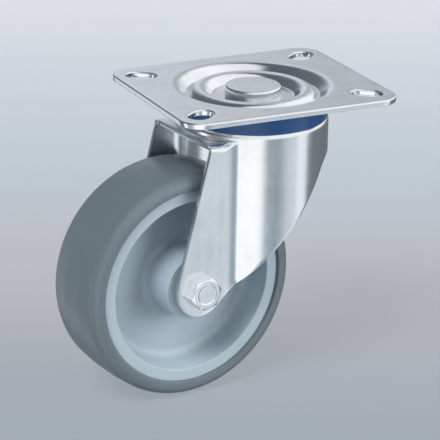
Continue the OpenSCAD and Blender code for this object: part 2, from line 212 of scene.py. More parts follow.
def rounded(path, per_turn=48, longest=6.0):
    """Corners of (a, b, radius) become arcs tangent to both sides, and straight runs get support points
    beside the arcs, so that shading stays flat between them."""
    support = 0.12
    points = []
    last = len(path) - 1
    for i, (a, b, r) in enumerate(path):
        here = np.array([a, b], float)
        if i in (0, last) or r < 0.01:
            points.append(here[None])
            continue
        before = unit(here - path[i - 1][:2])
        after = unit(path[i + 1][:2] - here)
        turn = math.acos(max(-1.0, min(1.0, before @ after)))
        side = np.sign(left(before) @ after)
        start = here - before * r * math.tan(turn / 2)
        centre = start + left(before) * side * r
        count = max(3, math.ceil(per_turn * turn / (2 * math.pi)))
        c, s = ways(side * turn * np.linspace(0, 1, count + 1)).T[:, :, None]
        arm = start - centre
        points.append(centre + (c * arm + s * left(arm)))
    pieces = [points[0]]
    for one, two in zip(points[:-1], points[1:]):
        gap = two[0] - one[-1]
        size = float(np.linalg.norm(gap))
        if size > 4 * support:
            edge = support / size
            inner = np.linspace(edge, 1 - edge, max(2, int(size / longest) + 2))
            pieces.append(one[-1] + inner[:, None] * gap)
        pieces.append(two)
    out = np.vstack(pieces)
    keep = np.ones(len(out), bool)
    keep[1:] = np.linalg.norm(np.diff(out, axis=0), axis=1) > 1e-6
    return out[keep]


def grid_part(grid, close_rows=False, close_cols=False, flip=False):
    """(points, quads) of a grid of points. Each quad joins four neighbours. A closed way joins its ends."""
    rows, cols = grid.shape[:2]
    r = np.arange(rows if close_rows else rows - 1)[:, None]
    c = np.arange(cols if close_cols else cols - 1)[None]
    nr, nc = (r + 1) % rows, (c + 1) % cols
    quads = np.stack([r * cols + c, r * cols + nc, nr * cols + nc, nr * cols + c], -1).reshape(-1, 4)
    return grid.reshape(-1, 3), quads[:, ::-1] if flip else quads


def around(count):
    """Evenly spaced angles of a full turn."""
    return np.arange(count) * 2 * math.pi / count


def polar(r, angle, z):
    """Points (r cos t, r sin t, z), with the angle t."""
    return np.stack(np.broadcast_arrays(r * np.cos(angle), r * np.sin(angle), z), -1)


def revolve(profile, angles):
    """Profile points (r, z) turned about Z, one row for each."""
    r, z = profile.T[:, :, None]
    return polar(r, angles, z)


def turned(profile, count, place=np.asarray):
    """A part from a profile revolved in count steps and moved by the function place. A profile that touches
    the axis stays open there."""
    off_axis = max(profile[0, 0], profile[-1, 0]) > 1e-6
    points, quads = grid_part(revolve(profile, around(count)), off_axis, True)
    return [(place(points), quads)]


def both_halves(half):
    """A section in (radius, width) drawn for width >= 0 is mirrored to the other side."""
    return np.vstack([half, half[half[:, 1] > 1e-9][::-1] * [1, -1]])


def about_z(points, turn):
    """Points turned about Z by an angle t: (x cos t - y sin t, x sin t + y cos t, z)."""
    c, s = math.cos(turn), math.sin(turn)
    x, y, z = points.T
    return np.stack([x * c - y * s, x * s + y * c, z], 1)


def on_fork(points):
    """From the fork's own frame to the castor's."""
    return about_z(points, SWIVEL)


def on_axle(points):
    """From the axle's frame, whose Z points to the near side, to the castor's."""
    x, y, z = points.T
    return on_fork(np.stack([x - TRAIL, -z, y + AXLE_Z], 1))


def make_mesh(name, parts, smooth=35.0, outward=True):
    """One object from (points, quads) parts in millimetres: doubles merged, faces outward, and edges sharper
    than the given angle left sharp."""
    points, quads, start = [], [], 0
    for p, q in parts:
        points.append(p)
        quads.append(q + start)
        start += len(p)
    points, quads = np.vstack(points) * MM, np.vstack(quads)
    mesh = bpy.data.meshes.new(name)
    mesh.vertices.add(len(points))
    mesh.vertices.foreach_set("co", points.ravel())
    mesh.loops.add(quads.size)
    mesh.loops.foreach_set("vertex_index", quads.ravel())
    mesh.polygons.add(len(quads))
    mesh.polygons.foreach_set("loop_start", np.arange(0, quads.size, 4))
    mesh.update(calc_edges=True)
    bm = bmesh.new()
    bm.from_mesh(mesh)
    bmesh.ops.remove_doubles(bm, verts=bm.verts, dist=2e-7)
    bmesh.ops.dissolve_degenerate(bm, edges=bm.edges, dist=2e-7)
    if outward:
        bmesh.ops.recalc_face_normals(bm, faces=bm.faces)
    bm.to_mesh(mesh)
    bm.free()
    mesh.polygons.foreach_set("use_smooth", np.ones(len(mesh.polygons), bool))
    mesh.set_sharp_from_angle(angle=math.radians(smooth))
    obj = bpy.data.objects.new(name, mesh)
    bpy.context.scene.collection.objects.link(obj)
    return obj


def bevel(obj, width, angle):
    """Rounds the edges that are sharper than the given angle, by width millimetres in two steps."""
    edges = obj.modifiers.new("Edges", "BEVEL")
    edges.width = width * MM
    edges.segments = 2
    edges.limit_method = "ANGLE"
    edges.angle_limit = math.radians(angle)


def seat_piece(obj, body, nodes, material):
    """Gives a piece its material, its moving body and the construction's nodes that it replaces."""
    obj.data.materials.append(material)
    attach(obj, body)
    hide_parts(*nodes)


# Materials

class Nodes:
    """The node tree of a material or a world, with short ways to add nodes. Each gives its output socket."""

    def __init__(self, owner):
        owner.use_nodes = True
        self.tree = owner.node_tree
        self.tree.nodes.clear()

    def node(self, kind, output, inputs, **values):
        """A new node with the given properties. Its inputs are sockets to link or values to set."""
        node = self.tree.nodes.new(kind)
        for key, value in values.items():
            setattr(node, key, value)
        for key, value in inputs.items():
            if isinstance(value, bpy.types.NodeSocket):
                self.tree.links.new(value, node.inputs[key])
            else:
                node.inputs[key].default_value = value
        return node.outputs[output] if output else node

    def span(self, value, low, high, to_low=0, to_high=1, kind="LINEAR"):
        """A value from low to high, brought to the other two limits and held there beyond them."""
        limits = {"From Min": low, "From Max": high, "To Min": to_low, "To Max": to_high}
        return self.node("ShaderNodeMapRange", "Result", {"Value": value, **limits}, interpolation_type=kind)

    def ramp(self, value, stops):
        """Colours between (place, colour) stops."""
        node = self.node("ShaderNodeValToRGB", None, {"Fac": value})
        elements = node.color_ramp.elements
        while len(elements) < len(stops):
            elements.new(0.5)
        for element, (place, colour) in zip(elements, stops):
            element.position = place
            element.color = (*colour, 1)
        return node.outputs["Color"]

    def mixed(self, factor, one, two):
        """The first colour where the factor is 0, the second where it is 1."""
        return self.node("ShaderNodeMix", "Result", {"Factor": factor, "A": one, "B": two}, data_type="RGBA")

    def shaders(self, factor, one, two):
        """The first shader where the factor is 0, the second where it is 1."""
        return self.node("ShaderNodeMixShader", "Shader", {0: factor, 1: one, 2: two})

    def maths(self, operation, one, two):
        """A sum or the like of two values."""
        return self.node("ShaderNodeMath", "Value", {0: one, 1: two}, operation=operation)

    def part(self, vector, axis):
        """One coordinate of a vector."""
        return self.node("ShaderNodeSeparateXYZ", axis, {"Vector": vector})

    def ray(self, kind):
        """1 for rays of one kind, such as Glossy, and 0 for others."""
        return self.node("ShaderNodeLightPath", f"Is {kind} Ray", {})


class MaterialNodes(Nodes):
    """A material's nodes, on Object coordinates."""

    def __init__(self, name):
        self.material = bpy.data.materials.get(name) or bpy.data.materials.new(name)
        super().__init__(self.material)
        self.coords = self.node("ShaderNodeTexCoord", "Object", {})

    def finish(self, surface):
        """Gives the material with a shader as its surface."""
        self.node("ShaderNodeOutputMaterial", None, {"Surface": surface})
        return self.material

    def mapping(self, turn=0.0, scale=(1, 1, 1)):
        """The coordinates, turned about Z and scaled."""
        inputs = {"Vector": self.coords, "Rotation": (0, 0, turn), "Scale": scale}
        return self.node("ShaderNodeMapping", "Vector", inputs, vector_type="POINT")

    def noise(self, vector, scale, detail, roughness):
        """Fractal noise around 0.5."""
        inputs = {"Vector": vector, "Scale": scale, "Detail": detail, "Roughness": roughness}
        return self.node("ShaderNodeTexNoise", "Fac", inputs)

    def bump(self, height, depth, strength=1.0, **over):
        """A normal tilted by a height field depth metres deep, over another Normal where one is given."""
        inputs = {"Height": height, "Distance": depth, "Strength": strength, **over}
        return self.node("ShaderNodeBump", "Normal", inputs)

    def principled(self, **inputs):
        """The material with one Principled shader. Input names have underscores for spaces."""
        inputs = {key.replace("_", " "): value for key, value in inputs.items()}
        return self.finish(self.node("ShaderNodeBsdfPrincipled", "BSDF", inputs))


def shade(colour, share):
    """A colour made darker or lighter, up to white."""
    return tuple(min(1.0, c * share) for c in colour)


def plated_steel(name, colour, rough=0.3, streak=(1, 1, 1), turn=SWIVEL, grain=0.00002, spread=0.06,
                 wave=0.00003):
    """Zinc-plated sheet: soft cloudy patches, fine rolling streaks and a slight orange-peel grain."""
    n = MaterialNodes(name)
    own = n.mapping(-turn)
    clouds = n.noise(own, 60, 4, 0.6)
    fine = n.noise(own, 1500, 3, 0.6)
    rolled = n.noise(n.mapping(-turn, streak), 220, 4, 0.6)
    tone = n.maths("ADD", n.span(clouds, 0.3, 0.7, 0, 0.6), n.span(rolled, 0.3, 0.7, 0, 0.4))
    colours = n.ramp(tone, [(0.0, shade(colour, 0.88)), (0.5, colour), (1.0, shade(colour, 1.07))])
    gloss = n.span(n.maths("ADD", clouds, rolled), 0.7, 1.3, rough - spread, rough + spread)
    normal = n.bump(rolled, grain, 0.3, Normal=n.bump(clouds, wave))
    normal = n.bump(fine, grain, 0.3, Normal=normal)
    return n.principled(Base_Color=colours, Metallic=1.0, Roughness=gloss, Normal=normal)


def moulded(name, colour, rough, grain, scale=900, mottling=0.05):
    """Moulded plastic or rubber: faint cloudy colour, fine texture from the mould."""
    n = MaterialNodes(name)
    own = n.mapping()
    clouds = n.noise(own, 45, 4, 0.55)
    fine = n.noise(own, scale, 4, 0.6)
    tone = n.maths("ADD", n.span(clouds, 0.25, 0.75, 0, 0.7), n.span(fine, 0.3, 0.7, 0, 0.3))
    stops = [(0.0, shade(colour, 1 - mottling)), (0.5, colour), (1.0, shade(colour, 1 + mottling))]
    gloss = n.span(clouds, 0.3, 0.7, rough * 0.92, rough * 1.08)
    return n.principled(Base_Color=n.ramp(tone, stops), Roughness=gloss, Normal=n.bump(fine, grain, 0.6))


# Settings that a user would change

def colour(name, default, description):
    """A colour setting."""
    return bpy.props.FloatVectorProperty(name=name, default=default, description=description, subtype="COLOR",
                                         size=3, min=0, max=1)


def length(name, default, description):
    """A length setting in metres."""
    return bpy.props.FloatProperty(name=name, default=default, description=description, unit="LENGTH")


def strength(name, default, description):
    """A light's strength setting."""
    return bpy.props.FloatProperty(name=name, default=default, description=description, min=0)


class CastorFinish(bpy.types.PropertyGroup):
    steel: colour("Plated steel", (0.80, 0.83, 0.86), "Colour of the zinc plating")
    ring: colour("Dust ring", (0.012, 0.075, 0.22), "Colour of the dust ring")
    rim: colour("Rim", (0.385, 0.472, 0.53), "Colour of the wheel's plastic")
    tyre: colour("Tyre", (0.125, 0.16, 0.18), "Colour of the tyre")


class CastorForm(bpy.types.PropertyGroup):
    plate_length: length("Plate length", 0.1, "Length of the top plate")
    plate_width: length("Plate width", 0.085, "Width of the top plate")
    slot_length: length("Slot length", 0.0135, "End-to-end length of a mounting slot")
    slot_width: length("Slot width", 0.009, "Width of a mounting slot")
    across_flats: length("Bolt across flats", 0.013, "Width across flats of the axle bolt's head")
    tyre_width: length("Tyre width", 0.035, "Overall width of the tyre")


class CastorLight(bpy.types.PropertyGroup):
    key: strength("Key light", 2.1, "Strength of the soft light from the upper left")
    side: strength("Side lights", 0.8, "Strength of the low lights from the left and the right")
    world: strength("Room light", 0.35, "Strength of the light from the room")


# Pieces

def plate_parts(length, width, slot_l, slot_w):
    """Flat border as strips along rays from the pressing to the outline, ring grids round the slots, rounded
    edges, and the pressing revolved about the swivel axis. The rays stand closer beside the slots."""
    seam = PRESS_R + 3.5
    corner = 10.0
    top_round, low_round = 0.7, 0.3
    half = np.array([length / 2, width / 2])
    slot_at = np.array([38.75, 30.0])
    slot_dir = angle_of(slot_at)
    reach = math.radians(12)
    first, across = 14, 19
    quarter = np.concatenate([np.linspace(0, slot_dir - reach, first + 1)[:-1],
                              np.linspace(slot_dir - reach, slot_dir + reach, across)[:-1],
                              np.linspace(slot_dir + reach, math.pi / 2, 23)])
    angles = np.concatenate([quarter, math.pi - quarter[::-1][1:], math.pi + quarter[1:],
                             2 * math.pi - quarter[::-1][1:-1]])

    def outline(t):
        """The rounded rectangle met by rays at angles t, and its outward normals. In a corner the distance s
        solves |s d - c| = corner radius, with the ray's direction d and the corner's centre c."""
        d = ways(t)
        p = d * np.min(half / np.maximum(np.abs(d), 1e-12), axis=1)[:, None]
        c = np.sign(p) * (half - corner)
        past = (np.abs(p) > half - corner).all(1)
        b = (d * c).sum(1)
        s = b + root(b * b - (c * c).sum(1) + corner * corner)
        p = np.where(past[:, None], d * s[:, None], p)
        n = p - np.clip(p, -(half - corner), half - corner)
        return p, n / np.linalg.norm(n, axis=1)[:, None]

    a = np.linspace(0, math.pi / 2, 7)
    edge_in = np.concatenate([top_round * (1 - np.sin(a)), low_round * (1 - np.cos(a[1:]))])
    edge_z = np.concatenate([-top_round * (1 - np.cos(a)), -PLATE_T + low_round * (1 - np.sin(a[1:]))])
    parts = []

    def add(p, z, closed):
        """Adds the grid of plane points p at heights z."""
        z = np.broadcast_to(z, p.shape[:2] + (1,))
        parts.append(grid_part(np.concatenate([p, z], -1), False, closed))

    def strip(curve, normal):
        """Edge profile carried along a closed curve: each point is the curve's point less the profile's inset
        times the normal, at the profile's height."""
        add(curve - edge_in[:, None, None] * normal, edge_z[:, None, None], True)

    def flat(inner, outer, z, steps, closed):
        """Straight lines at height z: (1 - t) times the inner curve plus t times the outer one."""
        t = np.linspace(0, 1, steps)[:, None, None]
        add(inner * (1 - t) + outer * t, z, closed)

    rim_curve, rim_normal = outline(angles)
    strip(rim_curve, rim_normal)
    seam_curve = seam * ways(angles)
    count = len(angles)
    near, far = quarter[first], quarter[first + across - 1]
    sectors = [int(np.argmin(np.abs(angles - side)))
               for side in (near, math.pi - far, math.pi + near, 2 * math.pi - far)]
    phis = [None] * 4
    for z, inset in ((0.0, top_round), (-PLATE_T, low_round)):
        outer = rim_curve - inset * rim_normal
        for k in range(4):
            begin, end = (sectors[k - 1] + across - 1) % count, sectors[k]
            run = np.arange(begin, end + 1 if end > begin else end + count + 1) % count
            flat(seam_curve[run], outer[run], z, 7, False)
        for k, (sx, sy) in enumerate(((1, 1), (-1, 1), (-1, -1), (1, -1))):
            run = np.arange(sectors[k], sectors[k] + across) % count
            t = np.linspace(0, 1, 7)[:, None]
            side_a = seam_curve[run[0]] * (1 - t) + outer[run[0]] * t
            side_b = seam_curve[run[-1]] * (1 - t) + outer[run[-1]] * t
            border = np.vstack([side_a[:-1], outer[run][:-1], side_b[:0:-1], seam_curve[run][:0:-1]])
            centre = slot_at * [sx, sy]
            if z == 0.0:
                phis[k] = np.arctan2(*(border - centre).T[::-1])
            curve, normal = stadium(centre, unit(centre), (slot_l - slot_w) / 2, slot_w / 2, phis[k])
            flat(curve + inset * normal, border, z, 5, True)
            if z == 0.0:
                strip(curve, -normal)
    middle = -PLATE_T / 2
    floor_z = FLOOR_TOP + middle
    floor_r = RIDGE_R - (-RIDGE_DROP - floor_z) / math.tan(FLANK)
    path = [(PIN_R, floor_z, 0), (floor_r, floor_z, 2.5), (RIDGE_R, -RIDGE_DROP, 3.4),
            (GROOVE_R, GROOVE_Z, 2.3), (PRESS_R, middle, 3.5), (seam, middle, 0)]
    upper = rounded(beside(path, PLATE_T / 2), longest=3)
    under = rounded(beside(path, -PLATE_T / 2), longest=3)
    parts.append(grid_part(revolve(np.vstack([upper[::-1], under]), angles), False, True))
    return parts


def stadium(centre, axis, run, radius, phi):
    """Where rays at angles phi from the centre meet a slot with round ends, and its outward normals. On the
    straight run the distance s is radius over the ray's share across, and on an end |s d - c| = radius."""
    d = ways(phi)
    along = d @ axis
    straight = radius / np.maximum(np.abs(d @ left(axis)), 1e-9)
    b = np.abs(along) * run
    s = np.where(np.abs(along) * straight <= run, straight, b + root(b * b - run * run + radius * radius))
    p = d * s[:, None]
    n = p - np.clip(p @ axis, -run, run)[:, None] * axis
    return centre + p, n / np.linalg.norm(n, axis=1)[:, None]


def kingpin_profile():
    """Section: riveted foot under the lower race, shank, and flat round head in the pressed dish."""
    under = RACE_UNDER - 4.4
    foot_r, head_r, head_top = 10, 12, -0.2
    return rounded([(0, under, 0), (foot_r - 2, under, 1.47), (foot_r, RACE_UNDER - 2.2, 1.47),
                    (foot_r, RACE_UNDER, 0), (PIN_R, RACE_UNDER, 0), (PIN_R, FLOOR_TOP, 0),
                    (head_r, FLOOR_TOP, 0), (head_r, head_top, 0.9), (0, head_top, 0)])


def lower_race_profile():
    """Section: collar on the plate's floor, dished middle, ball track and slanted flange, all one sheet."""
    track = LOWER_TRACK - RACE_T / 2
    dish = track + 0.7
    collar_r, flange = 8, 4.6
    slope = math.radians(34)
    half = LOWER_SEAT * math.tan(slope / 2)
    end = [LOWER_R + half + flange * math.cos(slope), track + flange * math.sin(slope), 0]
    path = [(collar_r, FLOOR_UNDER, 0), (collar_r, dish, 2), (LOWER_R - 2.8, dish, 1.1),
            (LOWER_R - half, track, 2.2), (LOWER_R + half, track, 2.2), end]
    return np.vstack([rounded(beside(path, RACE_T / 2)), rounded(beside(path, -RACE_T / 2))[::-1]])


def head_path():
    """Middle of the fork's sheet from its inner lip over both ball tracks to the shoulder. The slope between
    the tracks is the line that touches both balls' seats from opposite sides."""
    flat = HEAD_TOP - FORK_T / 2
    track = UPPER_TRACK - FORK_T / 2
    crest = flat + CREST
    bend, lip_l = 2.2, 2.3
    lip = math.radians(43)
    span = np.array([RIDGE_R - LOWER_R, UPPER_Z - LOWER_Z])
    tangent = math.asin((UPPER_SEAT + LOWER_SEAT) / np.linalg.norm(span)) - angle_of(span)
    start = LOWER_R - LOWER_SEAT * math.tan(lip / 2)
    slope = math.radians(21)
    end = RIDGE_R + UPPER_SEAT * math.tan(slope / 2)
    return [(start - lip_l * math.cos(lip), crest - lip_l * math.sin(lip), 0), (start, crest, bend),
            (LOWER_R + LOWER_SEAT * math.tan(tangent / 2), crest, bend),
            (RIDGE_R - UPPER_SEAT * math.tan(tangent / 2), track, bend), (end, track, bend),
            (end + TRACK_DEPTH / math.tan(slope), flat, bend), (HEAD_R - FORK_T / 2, flat, SHOULDER_R - 1),
            (HEAD_R - FORK_T / 2, SHOULDER_Z, 0)]


def fork_outline():
    """Side view of the walls, as (x, z): axle, upper rear corner, rear tangent point on the round leg end,
    centre and radius of the swept edge and of the arc under the front lip, and where those two touch."""
    axle = np.array([-TRAIL, AXLE_Z])
    corner = np.array([-WEB_BACK, WEB_TOP])
    lip = np.array([20.0, FRONT_Z])
    sweep_r, lip_r = 320.0, 12.0
    reach = np.linalg.norm(axle - corner)
    slope = angle_of(axle - corner) - math.asin(BOSS_R / reach)
    rear = corner + math.sqrt(reach ** 2 - BOSS_R ** 2) * ways(slope)
    span = np.linalg.norm(lip - axle)
    along = ((sweep_r - BOSS_R) ** 2 - sweep_r ** 2 + span ** 2) / (2 * span)
    aside = math.sqrt((sweep_r - BOSS_R) ** 2 - along ** 2)
    centre = axle + along * unit(lip - axle) + aside * left(unit(lip - axle))
    fillet_z = FRONT_Z - lip_r
    fillet_x = centre[0] + math.sqrt((sweep_r + lip_r) ** 2 - (fillet_z - centre[1]) ** 2)
    fillet = np.array([fillet_x, fillet_z])
    touch = fillet + lip_r * unit(centre - fillet)
    return axle, corner, rear, centre, sweep_r, fillet, lip_r, touch


def ease(t):
    """From 0 to 1 with level ends: 3 t^2 - 2 t^3."""
    t = np.clip(t, 0, 1)
    return t * t * (3 - 2 * t)


def fork_parts():
    """The fork's outer surface, one half and its mirror image. Columns stand in half planes through the
    swivel axis. Each runs over the ball tracks and the shoulder, steps out to the web or leg, and goes down
    the wall to the swept edge. The legs' flat parts are Coons patches down to the round ends, which are ring
    grids round the axle's holes. In plan the neck turns by swing on a tight circle, then on a wide one."""
    axle, corner, rear, centre, sweep_r, fillet, lip_r, touch = fork_outline()
    bend = 2.4
    tight, wide, swing = 1.5, 10.0, math.radians(26)
    bow = (wide - tight) * np.array([math.sin(swing), -math.cos(swing)])
    near_y = LEG_OUT + wide + bow[1]
    inner = np.array([-math.sqrt((HEAD_R + tight) ** 2 - near_y ** 2), near_y])
    outer = inner - bow
    joint = outer + bow * wide / (wide - tight)
    neck_a, joint_a = angle_of(inner), angle_of(joint)
    leg_a = math.atan2(LEG_OUT, outer[0])
    lean = (rear[0] - corner[0]) / (rear[1] - corner[1])
    beta = np.linspace(math.pi / 2, 0, 13)
    edge_y = LEG_OUT - bend + bend * np.sin(beta)
    edge_x = corner[0] - bend * lean * (edge_y - LEG_OUT + bend) / bend
    edge_a = np.arctan2(edge_y, edge_x)
    a = np.concatenate([np.linspace(0, neck_a, 73)[:-1], np.linspace(neck_a, leg_a, 15)[:-1],
                        np.linspace(leg_a, edge_a[0], 17)[:-1], edge_a[:-1],
                        np.linspace(edge_a[-1], math.pi, 17)])
    n_wall, n_leg = 72 + 14, 16
    wall = slice(0, n_wall + 1)
    leg = slice(n_wall, n_wall + n_leg + 1)

    # plan radius of the wall: round, then the neck's two circles, the flat leg and the web's edge
    ray = ways(a).T
    arcs = []
    for c, radius in ((inner, tight), (outer, wide)):
        dot = c @ ray
        arcs.append((dot - root(dot ** 2 - c @ c + radius ** 2),
                     np.hypot(*(HEAD_R * ray - c[:, None])) - radius))
    reach = np.select([a <= neck_a, a < joint_a, a < leg_a, a <= edge_a[0] + 1e-9],
                      [HEAD_R, arcs[0][0], arcs[1][0], LEG_OUT / np.maximum(np.sin(a), 1e-9)],
                      -corner[0] / np.maximum(-np.cos(a), 1e-9))
    reach[n_wall + n_leg:n_wall + n_leg + len(beta)] = np.hypot(edge_x, edge_y)

    # the step from the round head to the leg, as rows of (radius, height): a small arc outwards from the
    # shoulder, then a large one that meets the leg
    t = np.linspace(0, 1, 25)[:, None]
    gap = np.maximum(LEG_OUT - HEAD_R * np.sin(a), 0)
    near = np.maximum(np.where(a < joint_a, arcs[0][1], arcs[1][1]), 0)
    settle = ease((a - joint_a) / (leg_a - joint_a))
    off = np.where(a <= neck_a, 0, near * (1 - settle) + gap * settle)
    small, large = WEB_DROP, NECK_R
    turn = np.arccos(np.clip(1 - off / (small + large), 0, 1))
    first = np.clip(2 * t, 0, 1) * turn
    second = np.clip(2 - 2 * t, 0, 1) * turn
    low_z = SHOULDER_Z - (small + large) * np.sin(turn)
    out_1 = small * (1 - np.cos(first))
    out_2 = off - large * (1 - np.cos(second))
    s_out = np.where(t <= 0.5, out_1, out_2) / np.maximum(off, 1e-9)
    s_r = HEAD_R + np.clip(s_out, 0, 1) * (reach - HEAD_R)
    s_z = np.where(t <= 0.5, SHOULDER_Z - small * np.sin(first), low_z + large * np.sin(second))

    # the same step to the web, whose side edge bends down to the leg
    def drop(y):
        """Fall of the bend: its radius less the root of radius^2 - past^2, y being past into the bend."""
        past = np.clip(np.abs(y) - (LEG_OUT - bend), 0, bend)
        return bend - root(bend ** 2 - past ** 2)

    grow = (1 - np.cos(math.pi * t)) / 2
    w_r = HEAD_R + grow * (reach - HEAD_R)
    fill = small - root(small ** 2 - np.clip(small - (w_r - HEAD_R), 0, small) ** 2)
    w_z = WEB_TOP + fill - drop(w_r * np.sin(a))
    share = ease((a - leg_a) / (edge_a[0] - leg_a))
    step_r = np.where(a <= neck_a, HEAD_R, s_r * (1 - share) + w_r * share)
    step_z = np.where(a <= neck_a, SHOULDER_Z, s_z * (1 - share) + w_z * share)
    top = rounded(beside(head_path(), FORK_T / 2), longest=2)
    cap = np.vstack([revolve(top, a), polar(step_r, a, step_z)])

    # walls down to the swept edge
    x = (reach * np.cos(a))[wall]
    under_lip = fillet[1] + root(lip_r ** 2 - (x - fillet[0]) ** 2)
    swept_z = centre[1] - np.sqrt(sweep_r ** 2 - (x - centre[0]) ** 2)
    low = np.where(x >= fillet[0], FRONT_Z, np.where(x > touch[0], under_lip, swept_z))
    down = 26
    v = np.linspace(0, 1, down)[:, None]
    start = step_z[-1][wall]
    wall_z = start * (1 - v) + low * v
    y = (reach * np.sin(a))[wall]
    walls = np.stack(np.broadcast_arrays(x, y, wall_z), -1)

    # leg: a Coons patch from the bend down to the round end, a ruled strip beside the swept edge, and rings
    # round the axle's hole
    def on_wall(g):
        """Side view points (x, z) set on the leg's outer face."""
        return np.stack([g[..., 0], np.full(g.shape[:2], LEG_OUT), g[..., 1]], -1)

    def point(angle, radius=BOSS_R):
        """Side view points at the given angles and radius round the axle."""
        return axle + radius * ways(angle)

    top_edge = np.stack([(reach * np.cos(a))[leg], step_z[-1][leg]], 1)
    end_a = angle_of(axle - centre)
    rear_a = angle_of(rear - axle)
    column = np.stack([np.full(down, x[-1]), wall_z[:, -1]], 1)
    split = int(np.argmin(np.abs(column[:, 1] - axle[1] - 1.0)))
    near_a = angle_of(column[split] - axle)
    arc_a = np.linspace(near_a, rear_a, n_leg - 2)
    across = column[split] + np.linspace(0, 1, 4)[:-1, None] * (point(arc_a[:1])[0] - column[split])
    bottom = np.vstack([across, point(arc_a)])
    side = column[:split + 1]
    v = ((side[:, 1] - side[0, 1]) / (side[-1, 1] - side[0, 1]))[:, None]
    back = top_edge[-1] * (1 - v) + bottom[-1] * v
    u = np.linspace(0, 1, n_leg + 1)[None, :, None]
    v = v[:, :, None]
    patch = ((1 - u) * side[:, None] + u * back[:, None] + (1 - v) * top_edge[None] + v * bottom[None]
             - (1 - u) * (1 - v) * top_edge[0] - u * (1 - v) * top_edge[-1]
             - (1 - u) * v * bottom[0] - u * v * bottom[-1])
    sweep_a = np.linspace(angle_of([x[-1], low[-1]] - centre), end_a, 17)[1:]
    swept = np.vstack([column[split:], centre + sweep_r * ways(sweep_a)])
    tip_a = near_a + (end_a - near_a) * np.linspace(0, 1, len(swept)) ** 0.8
    share = np.linspace(0, 1, 4)[:, None, None]
    strip = swept[None] * (1 - share) + point(tip_a)[None] * share

    # round end: rings from the axle's hole to the edge
    low_a = np.linspace(rear_a - 2 * math.pi, end_a, 41)[1:-1]
    ring_a = np.concatenate([low_a, tip_a[::-1][:-1], arc_a])
    boss = np.array([point(ring_a, r) for r in (HOLE_R, 5.0, 7.0, 9.5, BOSS_R)])

    parts = []
    for sign in (1, -1):
        for grid, closed, way in ((cap, False, 1), (walls, False, 1), (on_wall(patch), False, 1),
                                  (on_wall(strip), False, -1), (on_wall(boss), True, -1)):
            points, faces = grid_part(grid * [1, sign, 1], False, closed, sign * way > 0)
            parts.append((on_fork(points), faces))
    return parts


def dust_ring_profile():
    """Section: top near the plate's underside, seat round the fork's shoulder, and an inner foot."""
    slope = math.atan2(-PLATE_T / 2 - GROOVE_Z, PRESS_R - GROOVE_R)
    gap = 0.4

    def top(r):
        """Height at radius r under the plate's flat or its pressed slope, whichever is lower."""
        slant = -PLATE_T / 2 - (PRESS_R - r) * math.tan(slope) - PLATE_T / 2 / math.cos(slope)
        return min(-PLATE_T, slant) - gap / math.cos(slope)

    inner = RING_R - 1.5
    foot = RING_R - 4.5
    foot_top = HEAD_TOP + 1.2
    seat_r = HEAD_R - SHOULDER_R
    rest = SHOULDER_R + 0.02
    end = math.acos((RING_R - seat_r) / rest)
    a = np.linspace(math.pi / 2, end, 12)
    seat = [seat_r, SHOULDER_Z] + rest * ways(a)
    outer = rounded([(RING_R, seat[-1][1], 0), (RING_R, top(RING_R), 0.3), (inner, top(inner), 0.3),
                     (inner, foot_top, 0.4), (foot, foot_top, 0.3), (foot, HEAD_TOP + 0.02, 0)])
    return np.vstack([seat[:-1], outer])


def rim_profile():
    """Section in (radius, half width): bore, hub, dished web, flat ring and the tyre's bed."""
    bore_r, hub_r, ring_r = 6.06, 14.2, 37.8
    web_half, draft, fillet = 3, 1.2, 4
    return both_halves(rounded([(bore_r, HUB_HALF, 0), (hub_r, HUB_HALF, 0.5),
                                (hub_r + draft, web_half, fillet), (ring_r - draft, web_half, fillet),
                                (ring_r, SEAT_EDGE[1], 0.5), (*SEAT_EDGE, 0.15), (*SEAT_STEP, 0),
                                (*SEAT_BED, 0)]))


def tyre_profile(width):
    """Section in (radius, half width): bed, side, round shoulder and slightly crowned tread."""
    side = width / 2
    crown = 0.8
    return both_halves(rounded([(*SEAT_BED, 0), (*SEAT_STEP, 0), (*SEAT_EDGE, 0),
                                (SEAT_EDGE[0] + 0.6, side, 0.4), (WHEEL_R - crown, side, 5),
                                (WHEEL_R, side * 0.3, 20), (WHEEL_R, 0, 0)], per_turn=72))


def hexagon_rings(angle, across, low, high):
    """Rings over a hexagon head: down its chamfer, which falls at 30 degrees beyond the flat circle, to its
    edge and down its sides. The edge's distance is half the width across flats over the cosine to a flat."""
    near = (angle + math.pi / 6) % (math.pi / 3) - math.pi / 6
    edge = across / 2 / np.cos(near)
    flat = across / 2 * CHAMFER
    fall = math.tan(math.radians(30))
    rings = []
    for share in np.linspace(0, 1, 6):
        r = flat + share * (edge - flat)
        rings.append(polar(r, angle, high - fall * np.maximum(r - flat, 0)))
    edge_z = high - fall * np.maximum(edge - flat, 0)
    for share in np.linspace(0, 1, 5)[1:]:
        rings.append(polar(edge, angle, edge_z * (1 - share) + low * share))
    return rings


def bolt_parts(across):
    """Bolt: dished top, chamfered hexagon, shank and its end, on one polar grid turned as in the photo."""
    turn = math.radians(40)
    angle = around(96)
    top, tail = LEG_OUT + 5.3, LEG_OUT - (2 * LEG_OUT + 10)
    dish = ((0.0, 0.35), (3.6, 0.35), (BOLT_R, 0.33), (4.5, 0.05), (4.9, 0.0))
    end = ((BOLT_R, LEG_OUT), (BOLT_R, tail + 0.8), (3.3, tail), (0.0, tail))
    grid = np.array([polar(r, angle, top - sunk) for r, sunk in dish]
                    + hexagon_rings(angle, across, LEG_OUT, top) + [polar(r, angle, z) for r, z in end])
    points, faces = grid_part(grid, False, True)
    return [(on_axle(about_z(points, turn)), faces)]


